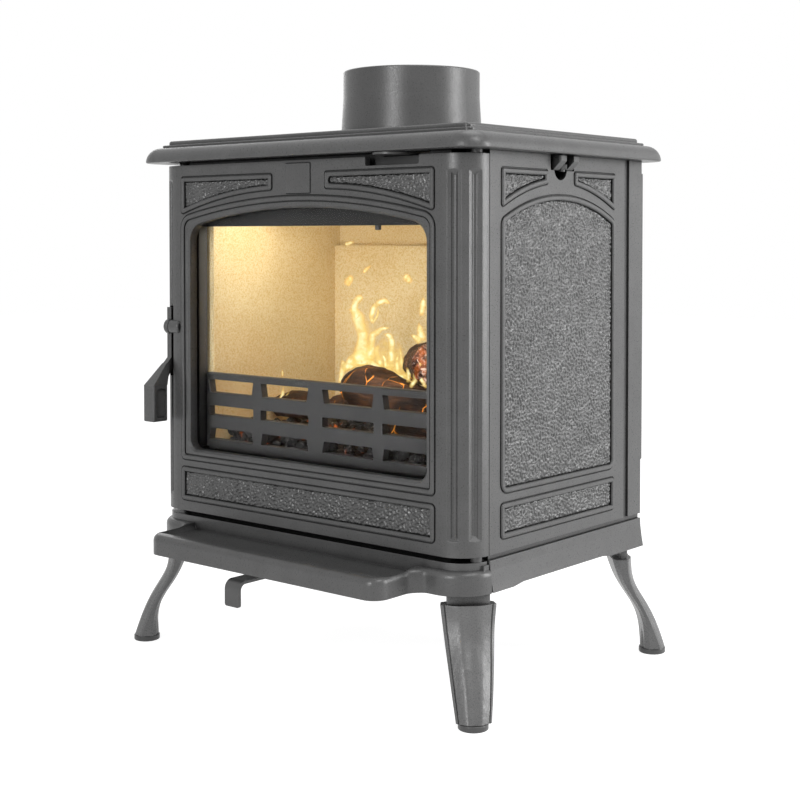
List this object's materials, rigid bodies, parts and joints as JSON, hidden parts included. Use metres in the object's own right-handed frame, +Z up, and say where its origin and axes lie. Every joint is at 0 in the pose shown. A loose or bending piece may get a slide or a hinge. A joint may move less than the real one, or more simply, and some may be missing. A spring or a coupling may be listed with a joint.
{
  "type": "wood stove",
  "caption": "Freestanding cast iron wood stove: bowed glass door between fluted columns, ash lip, log fence, air slides, round top flue collar and curved legs.",
  "frame": {"origin": "centre of the bounding box's footprint, at floor level under the feet", "axes": "+Z up; -Y towards the person facing the door; +X to that person's right, the hinge side"},
  "size_m": [0.4808, 0.3977, 0.6201],
  "materials": {
    "cast_iron": "matt, fine sandy grain",
    "dark_sheet": "matt black stove paint",
    "dark_steel": "darkened steel",
    "liner_board": "matt pressed mineral board",
    "window_glass": "clear heat-resistant glass",
    "gasket": "black tape",
    "rope": "dark woven rope"
  },
  "bodies": {
    "stove": {"base_plate": "cast_iron", "ash_lip": "cast_iron", "leg_front_left": "cast_iron", "leg_front_right": "cast_iron", "leg_rear_left": "cast_iron", "leg_rear_right": "cast_iron", "left_side_panel": "cast_iron", "right_side_panel": "cast_iron", "front_frame": "cast_iron", "top_plate": "cast_iron", "flue_collar": "cast_iron", "left_top_clamp": "cast_iron", "right_top_clamp": "cast_iron", "fire_grate": "cast_iron", "firebed_plate": "cast_iron", "rear_panel": "dark_sheet", "rear_heat_shield": "dark_sheet", "firebox_shell": "dark_sheet", "ash_pan": "dark_sheet", "air_slide_guides": "dark_sheet", "air_wash_guides": "dark_sheet", "latch_keeper": "dark_sheet", "baffle_plate": "dark_sheet", "heat_shield_screws": "dark_steel", "collar_bolts": "dark_steel", "left_clamp_bolt": "dark_steel", "right_clamp_bolt": "dark_steel", "lower_hinge_pin": "dark_steel", "upper_hinge_pin": "dark_steel", "air_wash_stop_pin": "dark_steel", "left_liner": "liner_board", "right_liner": "liner_board", "lower_rear_liner": "liner_board", "upper_rear_liner": "liner_board"},
    "door": {"door": "cast_iron", "door_glass": "window_glass", "glass_gasket": "gasket", "door_rope": "rope", "glass_clips": "dark_sheet", "clip_screws": "dark_steel", "handle_pin": "dark_steel"},
    "handle": {"handle_lever": "cast_iron"},
    "fence": {"log_fence": "cast_iron"},
    "primary_air": {"primary_air_slide": "dark_sheet"},
    "air_wash": {"air_wash_slide": "dark_sheet"},
    "foot_front_left": {"foot_front_left": "dark_steel"},
    "foot_front_right": {"foot_front_right": "dark_steel"},
    "foot_rear_left": {"foot_rear_left": "dark_steel"},
    "foot_rear_right": {"foot_rear_right": "dark_steel"}
  },
  "joints": [
    {"name": "door_hinge", "type": "hinge", "parent": "stove", "child": "door", "pos_m": [0.2045, -0.1079, 0.1426], "axis": [0, 0, 1], "range_deg": [0, 115]},
    {"name": "handle_pivot", "type": "hinge", "parent": "door", "child": "handle", "pos_m": [-0.1956, -0.1289, 0.345], "axis": [-1, 0, 0], "range_deg": [0, 50]},
    {"name": "fence_lift", "type": "slide", "parent": "stove", "child": "fence", "axis": [0, 0, 1], "range_m": [0, 0.05]},
    {"name": "primary_air_pull", "type": "slide", "parent": "stove", "child": "primary_air", "axis": [0, -1, 0], "range_m": [0, 0.035]},
    {"name": "air_wash_shift", "type": "slide", "parent": "stove", "child": "air_wash", "axis": [1, 0, 0], "range_m": [0, 0.018]},
    {"name": "foot_front_left_turn", "type": "hinge", "parent": "stove", "child": "foot_front_left", "pos_m": [-0.2251, -0.1394, 0], "axis": [0, 0, 1], "continuous": true},
    {"name": "foot_front_right_turn", "type": "hinge", "parent": "stove", "child": "foot_front_right", "pos_m": [0.2251, -0.1394, 0], "axis": [0, 0, 1], "continuous": true},
    {"name": "foot_rear_left_turn", "type": "hinge", "parent": "stove", "child": "foot_rear_left", "pos_m": [-0.2251, 0.1757, 0], "axis": [0, 0, 1], "continuous": true},
    {"name": "foot_rear_right_turn", "type": "hinge", "parent": "stove", "child": "foot_rear_right", "pos_m": [0.2251, 0.1757, 0], "axis": [0, 0, 1], "continuous": true}
  ]
}
